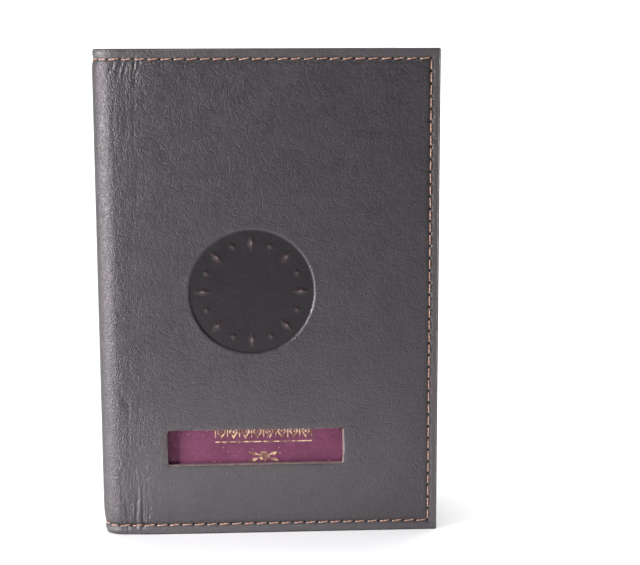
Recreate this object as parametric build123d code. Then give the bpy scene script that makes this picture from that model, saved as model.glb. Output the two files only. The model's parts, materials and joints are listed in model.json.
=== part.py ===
from build123d import *
import math
import os

# Leather passport holder with a booklet in it, standing on its bottom edge like a slightly open book.
# Millimetres, +Z up. The front cover lies along X and faces -Y, the spine is at low X, and the back cover
# swings out behind. The origin is on the ground, under the middle of the object's box.
#
# Everything is drawn closed, with the front cover's outer face on Y = 0 and the spine's on X = 0, and the
# spine and the back are then turned about their fold lines to the standing pose.
# A depth is measured inwards from the outer surface of the leather, on all three sides.

# ---- driving dimensions ----------------------------------------------------------------------------
HEIGHT = 140.0            # bottom edge to top edge of the leather
WIDTH = 96.8              # closed, outside of the spine to the fore edge
REST_OPENING = 20.0       # angle between the covers as it stands, degrees
FOLD_RADIUS = 4.6         # outside of the leather, where a cover turns into the spine

LEATHER = 1.4             # outer cover
LINING = 0.4              # glued to the inside of the leather
LINING_SHORT = 0.3        # the lining stops this far inside the cover's bottom and top edges
POCKET_ROOM = 1.0         # clear depth of a pocket, lining to flap
FLAP = 0.9                # pocket leather
PAGE_PLAY = 0.3           # air between a flap and the pages
PAGES_EACH = 1.15         # half of the booklet's leaves
BOARD = 0.5               # booklet cover

# ID-3 booklet, the size of every passport
BOOKLET_WIDTH = 88.0
BOOKLET_HEIGHT = 125.0
BOOKLET_SPINE_PLAY = 0.25  # air between the lining and the booklet's back
LEAF_INSET = 0.7           # the leaves are cut shorter than their cover
PAGE_FOLD_RADIUS = 0.9

POCKET_EDGE = 36.0        # X of the flaps' free edges
LEVEL_INSET = 2.9         # top and bottom stitch lines, from the edge of the leather
FORE_INSET = 2.6          # fore edge stitch line, from the edge of the leather
RIM = 4.0                 # width of the sewn border of a pocket

STITCH_PITCH = 3.55
STITCH_GAP = 0.75         # between the ends of two stitches
STITCH_WIDTH = 0.55
STITCH_HEIGHT = 0.22
GROOVE_WIDTH = 0.9
GROOVE_DEPTH = 0.25

WINDOW_SIZE = (51.0, 10.6)
WINDOW_CENTRE = (43.9, 25.9)
WINDOW_CORNER = 0.7

DISC_CENTRE = (43.3, 71.5)
DISC_RADIUS = 18.0
DISC_DEPTH = 0.35
MARK_COUNT = 8            # lozenges, with a round pip between each two
MARK_RING = 14.0
MARK_LENGTH = 5.4
MARK_WIDTH = 2.3
PIP_RADIUS = 0.75
MARK_DROP = 0.05          # the marks stand this much below the cover's face

# Foil on the booklet's cover, partly hidden by the window's edges: a band of lozenges and bars, a rule, and a
# flower between two pairs of leaves.
FOIL = 0.06               # thickness
FOIL_CENTRE_X = 46.3
BAND_WIDTH = 28.0
BAND_HEIGHT = 4.2
BAND_Z = 30.0
LOZENGE_COUNT = 8
LOZENGE_WIDTH = 2.7
LOZENGE_HOLE = 0.6        # size of the hole in a lozenge, as a share of the lozenge
DOT_RADIUS = 0.36
BAR_WIDTH = 0.32
BAR_HEIGHT = 3.4
RULE_Z = 27.0
RULE_HEIGHT = 0.35
FLOWER_Z = 22.5
PETAL_COUNT = 6
PETAL_RADIUS = 0.62
PETAL_RING = 0.95
LEAF_LENGTH = 3.3
LEAF_WIDTH = 1.1
LEAF_CENTRE = 3.1         # along X from the flower's middle
LEAF_TILT = 18.0          # each leaf of a pair turns this much up or down, degrees

THREAD_LENGTH = 20.0      # the booklet's own sewing, one long stitch
THREAD_COUNT = 3
THREAD_SIZE = 0.4

FOLD_CLEARANCE = 0.15     # each side of a fold line, between solids that turn
EPS = 0.01
FAR = 30.0                # reaches past the closed book, for cutters

# ---- derived sizes ---------------------------------------------------------------------------------
LINING_FACE = LEATHER + LINING
FLAP_OUT = LINING_FACE + POCKET_ROOM
FLAP_IN = FLAP_OUT + FLAP
PAGES_OUT = FLAP_IN + PAGE_PLAY
THICKNESS = 2 * (PAGES_OUT + PAGES_EACH + FOLD_CLEARANCE)
MIDDLE = THICKNESS / 2
BOARD_OUT = LINING_FACE + BOOKLET_SPINE_PLAY
BOARD_IN = BOARD_OUT + BOARD
BOOKLET_BOTTOM = RIM
BOOKLET_TOP = BOOKLET_BOTTOM + BOOKLET_HEIGHT
BOOKLET_FORE_EDGE = BOARD_OUT + BOOKLET_WIDTH
LEAVES_START = BOARD_IN + THREAD_SIZE
SEAM_X = WIDTH - FORE_INSET
MITRE = FOLD_CLEARANCE * math.sqrt(2)

# Fold lines: vertical, on the outer surface of the leather half way round each corner.
FOLD_REACH = FOLD_RADIUS * (1 - math.sqrt(0.5))
FRONT_FOLD = (FOLD_REACH, FOLD_REACH)
BACK_FOLD = (FOLD_REACH, THICKNESS - FOLD_REACH)


def turn_point(point, pivot, degrees):
    """A plan point turned about a vertical line."""
    angle = math.radians(degrees)
    dx, dy = point[0] - pivot[0], point[1] - pivot[1]
    x = pivot[0] + dx * math.cos(angle) - dy * math.sin(angle)
    y = pivot[1] + dx * math.sin(angle) + dy * math.cos(angle)
    return x, y


def stand_point(point):
    """Where a plan point of the closed back cover lies when it stands, before the shift to the origin."""
    half = REST_OPENING / 2
    return turn_point(turn_point(point, BACK_FOLD, half), FRONT_FOLD, half)


SPINE_CORNER = turn_point((FOLD_RADIUS, THICKNESS - FOLD_RADIUS), FRONT_FOLD, REST_OPENING / 2)
LOWEST_X = SPINE_CORNER[0] - FOLD_RADIUS
HIGHEST_Y = stand_point((WIDTH, THICKNESS))[1]
ORIGIN = ((LOWEST_X + WIDTH) / 2, HIGHEST_Y / 2)


# ---- placing ---------------------------------------------------------------------------------------
def turned(shape, pivot, degrees):
    return Pos(*pivot) * Rot(0, 0, degrees) * Pos(-pivot[0], -pivot[1]) * shape


def place_front(shape):
    return Pos(-ORIGIN[0], -ORIGIN[1]) * shape


def place_spine(shape):
    return place_front(turned(shape, FRONT_FOLD, REST_OPENING / 2))


def place_back(shape):
    return place_spine(turned(shape, BACK_FOLD, REST_OPENING / 2))


def rolled_to_back(shape):
    """A shape drawn on the front half and the same at top and bottom, rolled over onto the back half."""
    middle_line = (0, MIDDLE, HEIGHT / 2)
    return Pos(*middle_line) * Rot(180, 0, 0) * Pos(0, -MIDDLE, -HEIGHT / 2) * shape


def all_rolled(shapes):
    return [rolled_to_back(shape) for shape in shapes]


# ---- building blocks -------------------------------------------------------------------------------
def bar(x0, x1, y0, y1, z0, z1):
    corner = (Align.MIN, Align.MIN, Align.MIN)
    return Pos(x0, y0, z0) * Box(x1 - x0, y1 - y0, z1 - z0, align=corner)


def heart(depth, bottom=0.0, top=HEIGHT):
    """All that lies deeper than depth in the closed holder: a bar with two round corners at the spine."""
    outline = Rectangle(WIDTH - depth, THICKNESS - 2 * depth, align=(Align.MIN, Align.CENTER))
    outline = Pos(depth, MIDDLE) * outline
    corners = outline.vertices().group_by(Axis.X)[0]
    outline = fillet(corners, FOLD_RADIUS - depth)
    return Pos(0, 0, bottom) * extrude(outline, top - bottom)


def diamond(length, width):
    points = [(length / 2, 0), (0, width / 2), (-length / 2, 0), (0, -width / 2)]
    return make_face(Polyline(*points, close=True))


def wrap(outer, inner, bottom=0.0, top=HEIGHT):
    """A layer that runs from the front fore edge round the spine to the back fore edge."""
    return heart(outer, bottom, top) - heart(inner, bottom, top)


def prism(points):
    return extrude(make_face(Polyline(*points, close=True)), HEIGHT)


FRONT_ZONE = prism([
    (MITRE - FAR, -FAR),
    (WIDTH + FAR, -FAR),
    (WIDTH + FAR, MIDDLE - FOLD_CLEARANCE),
    (MIDDLE - FOLD_CLEARANCE + MITRE, MIDDLE - FOLD_CLEARANCE),
])
BACK_ZONE = rolled_to_back(FRONT_ZONE)
SPINE_ZONE = prism([
    (-FAR, MITRE - FAR),
    (MIDDLE - MITRE, MIDDLE),
    (-FAR, THICKNESS + FAR - MITRE),
])


def stitch_run(length):
    """Middles of the stitches along a straight run, and their pitch."""
    count = round(length / STITCH_PITCH)
    pitch = length / count
    return [pitch * (i + 0.5) for i in range(count)], pitch


def stitch_layer(outer, inner, level):
    """A thin band round the spine, one stitch high, to cut curved stitches from."""
    return wrap(outer, inner, level - STITCH_WIDTH / 2, level + STITCH_WIDTH / 2)


def fold_sector(start, end):
    """The sector of the front fold's corner between two angles, from 0 at the cover to 90 at the spine."""
    centre = (FOLD_RADIUS, FOLD_RADIUS)

    def rim(angle):
        a = math.radians(270 - angle)
        return centre[0] + FAR * math.cos(a), centre[1] + FAR * math.sin(a)

    return prism([centre, rim(start), rim(end)])


LEVELS = (LEVEL_INSET, HEIGHT - LEVEL_INSET)
OUTER_THREAD_DEPTHS = (GROOVE_DEPTH - STITCH_HEIGHT, GROOVE_DEPTH)
INNER_THREAD_DEPTHS = (LINING_FACE, LINING_FACE + STITCH_HEIGHT)
COVER_SIDE_OF_FOLD = (7, 38)    # degrees of the corner that a stitch spans
SPINE_SIDE_OF_FOLD = (52, 83)
RUN_START = FOLD_RADIUS
RUN_LENGTH = SEAM_X - RUN_START


def level_stitches(depth, x_from, x_to, proud):
    """Stitches of the top and bottom seams on the front half, on the face at depth; proud is 1 or -1 in Y."""
    middles, pitch = stitch_run(RUN_LENGTH)
    half = (pitch - STITCH_GAP) / 2
    low, high = sorted((depth, depth + proud * STITCH_HEIGHT))
    found = []
    for middle in middles:
        x = RUN_START + middle
        if x_from <= x - half and x + half <= x_to:
            for level in LEVELS:
                z0, z1 = level - STITCH_WIDTH / 2, level + STITCH_WIDTH / 2
                found.append(bar(x - half, x + half, low, high, z0, z1))
    return found


def fore_edge_stitches(depth, proud):
    """Stitches of the fore edge seam on the front half."""
    middles, pitch = stitch_run(HEIGHT - 2 * LEVEL_INSET)
    half = (pitch - STITCH_GAP) / 2
    low, high = sorted((depth, depth + proud * STITCH_HEIGHT))
    x0, x1 = SEAM_X - STITCH_WIDTH / 2, SEAM_X + STITCH_WIDTH / 2
    return [bar(x0, x1, low, high, LEVEL_INSET + z - half, LEVEL_INSET + z + half) for z in middles]


def fold_stitches(start, end, low, high):
    """Stitches round the front fold, at both seams, between two angles and two depths."""
    sector = fold_sector(start, end)
    return [stitch_layer(low, high, level) & sector for level in LEVELS]


# ---- the cover -------------------------------------------------------------------------------------
def leather():
    """The whole cover, with the grooves that the stitches lie in."""
    sheet = wrap(0, LEATHER)
    for level in LEVELS:
        sheet -= wrap(0, GROOVE_DEPTH, level - GROOVE_WIDTH / 2, level + GROOVE_WIDTH / 2)
    x0, x1 = SEAM_X - GROOVE_WIDTH / 2, SEAM_X + GROOVE_WIDTH / 2
    z0, z1 = LEVEL_INSET - GROOVE_WIDTH / 2, HEIGHT - LEVEL_INSET + GROOVE_WIDTH / 2
    groove = bar(x0, x1, 0, GROOVE_DEPTH, z0, z1)
    sheet -= groove
    sheet -= rolled_to_back(groove)
    # Outside the seams' ends the groove would run out at the fore edge, so the border is closed again.
    for level in LEVELS:
        plug = bar(x1, WIDTH, 0, GROOVE_DEPTH, level - GROOVE_WIDTH / 2, level + GROOVE_WIDTH / 2)
        sheet += plug
        sheet += rolled_to_back(plug)
    return sheet


def front_face_sketch(sketch, depth):
    """A sketch in X and Z, cut from the front face down to a depth."""
    plane = Plane(origin=(0, depth, 0), x_dir=(1, 0, 0), z_dir=(0, -1, 0))
    return extrude(plane * sketch, depth + 1)


def window():
    outline = Pos(*WINDOW_CENTRE) * RectangleRounded(*WINDOW_SIZE, WINDOW_CORNER)
    return front_face_sketch(outline, LINING_FACE + EPS)


def compass_disc():
    """The pressed disc, less the ring of lozenges and pips that stand in it."""
    pressed = Circle(DISC_RADIUS)
    lozenge = diamond(MARK_LENGTH, MARK_WIDTH)
    step = 360 / MARK_COUNT
    marks = Sketch()
    for i in range(MARK_COUNT):
        marks += Rot(0, 0, 90 + i * step) * Pos(MARK_RING, 0) * lozenge
        marks += Rot(0, 0, 90 + (i + 0.5) * step) * Pos(MARK_RING, 0) * Circle(PIP_RADIUS)
    where = Pos(*DISC_CENTRE)
    pit = front_face_sketch(where * pressed, DISC_DEPTH)
    standing = front_face_sketch(where * marks, DISC_DEPTH) & bar(0, WIDTH, MARK_DROP, FAR, 0, HEIGHT)
    return pit - standing


SHEET = leather()
LINING_SHEET = wrap(LEATHER, LINING_FACE, LINING_SHORT, HEIGHT - LINING_SHORT)


def front_cover():
    return (SHEET & FRONT_ZONE) - window() - compass_disc()


def front_lining():
    return (LINING_SHEET & FRONT_ZONE) - window()


def pocket():
    """A flap sewn on along three sides, open towards the spine, with the booklet's cover behind it."""
    flap = bar(POCKET_EDGE, WIDTH, LINING_FACE, FLAP_IN, 0, HEIGHT)
    room = bar(POCKET_EDGE - 1, WIDTH - RIM, LINING_FACE, FLAP_OUT, RIM, HEIGHT - RIM)
    return flap - room


def outer_thread():
    """The needle thread, seen on the outside of one half, out to the fold line."""
    stitches = level_stitches(GROOVE_DEPTH, RUN_START, SEAM_X, -1)
    stitches += fore_edge_stitches(GROOVE_DEPTH, -1)
    stitches += fold_stitches(*COVER_SIDE_OF_FOLD, *OUTER_THREAD_DEPTHS)
    return stitches


def inner_thread():
    """The bobbin thread, seen inside one half, on the lining and then on the pocket's flap."""
    stitches = level_stitches(LINING_FACE, RUN_START, POCKET_EDGE - EPS, 1)
    stitches += level_stitches(FLAP_IN, POCKET_EDGE, SEAM_X, 1)
    stitches += fore_edge_stitches(FLAP_IN, 1)
    stitches += fold_stitches(*COVER_SIDE_OF_FOLD, *INNER_THREAD_DEPTHS)
    return stitches


def spine_thread(depths):
    front_side = fold_stitches(*SPINE_SIDE_OF_FOLD, *depths)
    return front_side + all_rolled(front_side)


# ---- the booklet -----------------------------------------------------------------------------------
def booklet_cover():
    """The booklet's whole cover, folded round the leaves."""
    sheet = wrap(BOARD_OUT, BOARD_IN, BOOKLET_BOTTOM, BOOKLET_TOP)
    return sheet & bar(0, BOOKLET_FORE_EDGE, 0, THICKNESS, 0, HEIGHT)


def leaves():
    """All the leaves, closed, with a round fold at the booklet's back."""
    x0, x1 = LEAVES_START, BOOKLET_FORE_EDGE - LEAF_INSET
    z0, z1 = BOOKLET_BOTTOM + LEAF_INSET, BOOKLET_TOP - LEAF_INSET
    block = bar(x0, x1, PAGES_OUT, THICKNESS - PAGES_OUT, z0, z1)
    back_edges = block.edges().filter_by(Axis.Z).group_by(Axis.X)[0]
    return fillet(back_edges, PAGE_FOLD_RADIUS)


def page_thread():
    """Long stitches down the outside of the folded leaves, between them and the booklet's back."""
    x = LEAVES_START - THREAD_SIZE
    gap = (BOOKLET_HEIGHT - 2 * LEAF_INSET) / THREAD_COUNT
    reach = THREAD_LENGTH / 2
    thread = []
    for i in range(THREAD_COUNT):
        z = BOOKLET_BOTTOM + LEAF_INSET + gap * (i + 0.5)
        y0, y1 = MIDDLE - THREAD_SIZE / 2, MIDDLE + THREAD_SIZE / 2
        thread.append(bar(x, LEAVES_START, y0, y1, z - reach, z + reach))
    return thread


def foil_band():
    """Open lozenges with a dot in each, and a bar between each two."""
    pitch = BAND_WIDTH / LOZENGE_COUNT
    hole = diamond(LOZENGE_WIDTH * LOZENGE_HOLE, BAND_HEIGHT * LOZENGE_HOLE)
    lozenge = diamond(LOZENGE_WIDTH, BAND_HEIGHT) - hole + Circle(DOT_RADIUS)
    band = Sketch()
    for i in range(LOZENGE_COUNT):
        x = (i + 0.5) * pitch - BAND_WIDTH / 2
        band += Pos(x, BAND_Z) * lozenge
    for i in range(LOZENGE_COUNT + 1):
        x = i * pitch - BAND_WIDTH / 2
        band += Pos(x, BAND_Z) * Rectangle(BAR_WIDTH, BAR_HEIGHT)
    return band


def foil_flower():
    flower = Sketch()
    for i in range(PETAL_COUNT):
        flower += Rot(0, 0, i * 360 / PETAL_COUNT) * Pos(PETAL_RING, 0) * Circle(PETAL_RADIUS)
    for side in (0, 180):
        for tilt in (-LEAF_TILT, LEAF_TILT):
            flower += Rot(0, 0, side + tilt) * Pos(LEAF_CENTRE, 0) * diamond(LEAF_LENGTH, LEAF_WIDTH)
    return Pos(0, FLOWER_Z) * flower


def cover_foil():
    """The pressed foil on the booklet's front cover."""
    rule = Pos(0, RULE_Z) * Rectangle(BAND_WIDTH, RULE_HEIGHT)
    plane = Plane(origin=(FOIL_CENTRE_X, BOARD_OUT, 0), x_dir=(1, 0, 0), z_dir=(0, -1, 0))
    return extrude(plane * (foil_band() + rule + foil_flower()), FOIL)


BOARDS = booklet_cover()
LEAVES = leaves()


# ---- the nodes, by body ----------------------------------------------------------------------------
def group(shapes):
    return Compound(children=[s for shape in shapes for s in shape.solids()])


def build():
    outer, inner = outer_thread(), inner_thread()
    front = {
        "front_cover": front_cover(),
        "front_lining": front_lining(),
        "front_pocket": pocket(),
        "front_outer_thread": group(outer),
        "front_inner_thread": group(inner),
        "booklet_front_cover": BOARDS & FRONT_ZONE,
        "cover_foil": group([cover_foil()]),
        "front_pages": LEAVES & FRONT_ZONE,
    }
    spine = {
        "spine_cover": SHEET & SPINE_ZONE,
        "spine_lining": LINING_SHEET & SPINE_ZONE,
        "spine_outer_thread": group(spine_thread(OUTER_THREAD_DEPTHS)),
        "spine_inner_thread": group(spine_thread(INNER_THREAD_DEPTHS)),
        "booklet_spine": BOARDS & SPINE_ZONE,
        "page_fold": LEAVES & SPINE_ZONE,
        "page_thread": group(page_thread()),
    }
    back = {
        "back_cover": SHEET & BACK_ZONE,
        "back_lining": LINING_SHEET & BACK_ZONE,
        "back_pocket": rolled_to_back(pocket()),
        "back_outer_thread": group(all_rolled(outer)),
        "back_inner_thread": group(all_rolled(inner)),
        "booklet_back_cover": BOARDS & BACK_ZONE,
        "back_pages": LEAVES & BACK_ZONE,
    }
    placed = {name: place_front(shape) for name, shape in front.items()}
    placed |= {name: place_spine(shape) for name, shape in spine.items()}
    placed |= {name: place_back(shape) for name, shape in back.items()}
    bodies = {"front": list(front), "spine": list(spine), "back": list(back)}
    return placed, bodies


NODES, BODIES = build()
os.makedirs("parts", exist_ok=True)
for name, shape in NODES.items():
    export_step(shape, f"parts/{name}.step")
print("closed thickness", round(THICKNESS, 3), "origin in the closed frame", ORIGIN)
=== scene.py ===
import json
import math
from types import SimpleNamespace

import bmesh
import bpy
import numpy as np
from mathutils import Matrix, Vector


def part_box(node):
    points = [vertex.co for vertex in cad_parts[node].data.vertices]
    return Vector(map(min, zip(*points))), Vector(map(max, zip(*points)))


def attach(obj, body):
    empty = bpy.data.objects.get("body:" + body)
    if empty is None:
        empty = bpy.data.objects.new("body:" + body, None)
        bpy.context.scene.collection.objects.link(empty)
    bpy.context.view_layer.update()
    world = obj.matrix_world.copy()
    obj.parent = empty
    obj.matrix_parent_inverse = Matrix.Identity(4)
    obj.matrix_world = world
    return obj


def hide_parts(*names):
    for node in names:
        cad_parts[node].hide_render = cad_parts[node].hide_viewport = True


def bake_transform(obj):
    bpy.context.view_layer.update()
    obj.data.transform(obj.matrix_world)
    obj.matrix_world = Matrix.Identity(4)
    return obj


# A leather passport holder with a booklet in it. Lengths are millimetres until a mesh is made, but the floor,
# the lights and the camera are in metres.
# Every soft layer is a sheet wrapped round the spine. A point of a sheet is given by
#   s      distance along the leather's outer face, from the front fore edge round the spine to the back's
#   z      height
#   depth  distance inwards from that surface

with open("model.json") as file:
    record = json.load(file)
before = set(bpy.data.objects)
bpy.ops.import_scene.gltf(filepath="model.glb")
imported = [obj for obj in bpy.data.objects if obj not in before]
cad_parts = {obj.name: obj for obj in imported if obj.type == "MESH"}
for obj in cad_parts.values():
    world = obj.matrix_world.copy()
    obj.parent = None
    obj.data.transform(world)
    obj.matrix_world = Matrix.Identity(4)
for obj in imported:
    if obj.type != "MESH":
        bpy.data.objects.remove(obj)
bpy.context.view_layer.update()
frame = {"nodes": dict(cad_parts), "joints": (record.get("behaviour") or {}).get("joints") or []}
MM = 0.001

# ---- sizes that the frame gives
JOINTS = {joint["name"]: joint for joint in frame["joints"]}
FRONT_FOLD = np.array(JOINTS["front_fold"]["pos_m"][:2]) / MM
BACK_FOLD = np.array(JOINTS["back_fold"]["pos_m"][:2]) / MM
COVER_LOW, COVER_HIGH = (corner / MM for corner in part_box("front_cover"))
BOARD_LOW, BOARD_HIGH = (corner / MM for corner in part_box("booklet_front_cover"))
PAGES_LOW, PAGES_HIGH = (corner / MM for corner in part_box("front_pages"))
POCKET_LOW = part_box("front_pocket")[0] / MM
FOIL_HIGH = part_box("cover_foil")[1] / MM
FORE_X, FACE_Y, HEIGHT = COVER_HIGH.x, COVER_LOW.y, COVER_HIGH.z

# ---- sizes of the sheets
LEATHER = 1.4  # thickness of the cover's leather
LINING = 0.4
LINING_FACE = LEATHER + LINING
FLAP = 0.9  # thickness of a pocket flap
FLAP_EDGE = FORE_X - POCKET_LOW.x  # the flap's open edge, from the fore edge
BOARD_OUT = FOIL_HIGH.y - FACE_Y  # depth of the booklet cover's outer face, which the foil lies on
BOARD = 0.5
BOARD_IN = BOARD_OUT + BOARD
LEAF_COUNT = 14
LEAF = 0.072
LEAF_BLOCK = 1.15  # thickness of one half of the leaves
LEAF_PITCH = LEAF_BLOCK / LEAF_COUNT
BOOKLET_CORNER = 3.0
LEVEL_INSET = 2.9  # top and bottom stitch lines
FORE_INSET = 2.6  # stitch line beside a fore edge
STITCH_PITCH = 3.55
PLY_RADIUS = 0.115
WINDOW_S = (27.4, 78.4)  # the window's sides, from the fore edge
WINDOW_Z = (20.6, 31.2)
WINDOW = (WINDOW_S, WINDOW_Z)
DISC_S, DISC_Z, DISC_RADIUS = 53.5, 71.5, 18.0
CUT_CORNER, CORNER_REACH = 0.5, 4.0  # rounding of the corners cut in leather and lining
RIM = 0.35  # rounding of the leather's edges
UV_SPAN = 250.0  # millimetres that one unit of a texture map covers
SAME = 1e-6  # positions closer than this are the same
HALVES = (("front", False), ("back", True))


# ---- the wrapped section
def fold_section():
    """The plan of the leather's outer surface as it stands: two arcs that pass through the fold lines."""
    spine = BACK_FOLD - FRONT_FOLD
    heading = math.atan2(spine[1], spine[0])
    turn = math.pi - heading
    half_corner = (math.pi - turn) / 2
    reach = FRONT_FOLD[1] - FACE_Y
    radius = reach / (1 - math.sin(half_corner))
    apex_x = FRONT_FOLD[0] - reach / math.tan(half_corner)
    tangent = radius * math.tan(turn / 2)
    straight = FORE_X - apex_x - tangent
    spine_straight = np.linalg.norm(spine) + 2 * reach / math.tan(half_corner) - 2 * tangent
    arc = radius * turn
    return SimpleNamespace(turn=turn, radius=radius, straight=straight, spine=spine_straight, arc=arc,
                           heading=heading, length=2 * straight + 2 * arc + spine_straight)


WRAP = fold_section()
MIDDLE = WRAP.length / 2


def outward(heading):
    """The direction to the left of a heading, in plan."""
    return np.stack([-np.sin(heading), np.cos(heading)], axis=-1)


def plan(s):
    """Point and outward direction, in plan, at each distance s along the wrapped surface."""
    s = np.asarray(s, float)
    w = WRAP
    first = np.clip((s - w.straight) / w.radius, 0, w.turn)
    second = np.clip((s - w.straight - w.arc - w.spine) / w.radius, 0, w.turn)
    along_front = np.minimum(s, w.straight)
    along_spine = np.clip(s - w.straight - w.arc, 0, w.spine)
    along_back = np.maximum(s - (w.length - w.straight), 0)
    back_heading = w.heading - w.turn
    point = np.zeros(s.shape + (2,))
    point[..., 0] = FORE_X - along_front
    point[..., 1] = FACE_Y
    point += w.radius * (outward(math.pi - first) - outward(np.full_like(s, math.pi)))
    point += along_spine[..., None] * np.array([math.cos(w.heading), math.sin(w.heading)])
    point += w.radius * (outward(w.heading - second) - outward(np.full_like(s, w.heading)))
    point += along_back[..., None] * np.array([math.cos(back_heading), math.sin(back_heading)])
    return point, outward(math.pi - first - second)


def place(s, z, depth):
    """Points in the frame's axes, in millimetres."""
    point, out = plan(s)
    flat = point - out * np.asarray(depth, float)[..., None]
    return np.concatenate([flat, np.asarray(z, float)[..., None]], axis=-1)


def fold_ends(depth, back=False):
    ends = np.array([WRAP.straight, WRAP.straight + WRAP.arc])
    if back:
        ends = (WRAP.length - ends)[::-1]
    points = place(ends, np.full(2, HEIGHT / 2), np.full(2, float(depth))) * MM
    return Vector(points[0]), Vector(points[1])


# ---- numbers over a sheet
def smooth(x, low, high):
    """0 at low, 1 at high and an S curve between; low may be above high."""
    t = np.clip((np.asarray(x, float) - low) / (high - low), 0, 1)
    return t * t * (3 - 2 * t)


def bell(x, width):
    """1 at x = 0, falling away on both sides."""
    return np.exp(-((np.asarray(x, float) / width) ** 2))


def noise(u, v, cell_u, cell_v, seed):
    """Smooth noise between -1 and 1, with one random value at each corner of a lattice of cells."""
    size = 128
    lattice = np.random.default_rng(seed).uniform(-1, 1, (size, size))
    u, v = np.asarray(u, float) / cell_u + 1000, np.asarray(v, float) / cell_v + 1000
    iu, iv = np.floor(u).astype(int), np.floor(v).astype(int)
    fu, fv = u - iu, v - iv
    fu, fv = fu * fu * fu * (fu * (fu * 6 - 15) + 10), fv * fv * fv * (fv * (fv * 6 - 15) + 10)

    def corner(du, dv):
        return lattice[(iu + du) % size, (iv + dv) % size]

    low = corner(0, 0) * (1 - fu) + corner(1, 0) * fu
    high = corner(0, 1) * (1 - fu) + corner(1, 1) * fu
    return low * (1 - fv) + high * fv


def lines(*stops):
    """Positions from the first stop to the last; each stop after the first says the step that leads to it."""
    found = [np.array([stops[0]])]
    last = stops[0]
    for stop, step in stops[1:]:
        count = max(1, round(abs(stop - last) / step))
        found.append(np.linspace(last, stop, count + 1)[1:])
        last = stop
    return np.concatenate(found)


def from_spine(s):
    """Distance from the middle of the spine, along the sheet, the same on both halves."""
    return np.abs(MIDDLE - np.asarray(s, float))


def from_fore_edge(s):
    """Distance from the nearer fore edge, the same on both halves."""
    return np.minimum(s, WRAP.length - s)


def seam_distance(s, z):
    """Signed distance from the nearest stitch line: positive inside it, negative in the margin."""
    inside_levels = np.minimum(z, HEIGHT - z) - LEVEL_INSET
    inside_fore = from_fore_edge(s) - FORE_INSET
    return np.minimum(inside_levels, inside_fore)


def window_distance(s, z):
    """Distance from the window: positive outside it, negative in it."""
    sideways = np.maximum(WINDOW_S[0] - s, s - WINDOW_S[1])
    return np.maximum(sideways, np.maximum(WINDOW_Z[0] - z, z - WINDOW_Z[1]))


# ---- needle holes
def seam_holes(back):
    """Needle holes of one half, as three runs of (s, z): the bottom, the fore edge and the top."""
    run = MIDDLE - FORE_INSET
    count = round(run / STITCH_PITCH)
    level_s = np.linspace(MIDDLE, FORE_INSET, count + 1)
    rise = HEIGHT - 2 * LEVEL_INSET
    fore_z = np.linspace(LEVEL_INSET, HEIGHT - LEVEL_INSET, round(rise / STITCH_PITCH) + 1)
    if back:
        level_s = WRAP.length - level_s
    fore_s = np.full(len(fore_z), level_s[-1])
    bottom = np.stack([level_s, np.full(len(level_s), LEVEL_INSET)], axis=1)
    top = np.stack([level_s, np.full(len(level_s), HEIGHT - LEVEL_INSET)], axis=1)
    return [bottom, np.stack([fore_s, fore_z], axis=1), top]


def hole_pits(s, z, back, depth=0.22, width=0.42):
    """The dent at each needle hole."""
    dent = np.zeros(np.broadcast(s, z).shape)
    for run in seam_holes(back):
        along_level = abs(run[0, 1] - run[-1, 1]) < SAME
        across = (z - run[0, 1]) if along_level else (s - run[0, 0])
        along = s if along_level else z
        first, last = (run[0, 0], run[-1, 0]) if along_level else (run[0, 1], run[-1, 1])
        pitch = (last - first) / (len(run) - 1)
        nearest = np.clip(np.round((along - first) / pitch), 0, len(run) - 1) * pitch + first
        dent = np.maximum(dent, depth * bell(np.hypot(across, along - nearest), width))
    return dent


# ---- shape of the leather
def sag(s, z):
    """How far leather and lining stand out from their plain section: a slow wave on the flat, and at the
    spine a pinch under the level seams and a curl at the edges."""
    spine = smooth(from_spine(s), 16, 6)
    wave = 0.10 * noise(s, z, 31, 38, 11) + 0.05 * noise(s, z, 13, 17, 12)
    wave *= smooth(from_spine(s), 0.5, 5)
    wave *= smooth(window_distance(s, z), -1, 10)
    pinch = 0.34 * bell(z - LEVEL_INSET, 2.6) + 0.2 * bell(HEIGHT - LEVEL_INSET - z, 1.8)
    curl = 0.8 * np.clip(1 - z / 1.7, 0, 1) ** 2 + 0.5 * np.clip(1 - (HEIGHT - z) / 1.2, 0, 1) ** 2
    return wave - spine * (pinch + curl)


def strokes(s, z, seed, count, s_range, z_start, direction, length, slant, depth):
    """Short creases that run up (direction 1) or down (-1) from a seam, each a valley beside a low bank."""
    rng = np.random.default_rng(seed)
    total = np.zeros(np.broadcast(s, z).shape)
    for _ in range(count):
        start = rng.uniform(*s_range)
        reach = length * rng.uniform(0.5, 1.2)
        lean = slant + rng.uniform(-0.12, 0.12)
        width = rng.uniform(0.22, 0.36)
        along = (z - z_start) * direction / reach
        bow = 0.5 * np.sin(np.clip(along, 0, 1) * 3 + start)
        across = s - start - lean * (z - z_start) * direction - 0.35 * bow
        fade = smooth(along, -0.02, 0.12) * smooth(along, 1.0, 0.35)
        section = bell(across, width) - 0.55 * bell(across - 2.2 * width, width)
        total += depth * rng.uniform(0.5, 1.0) * fade * section
    return total


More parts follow.
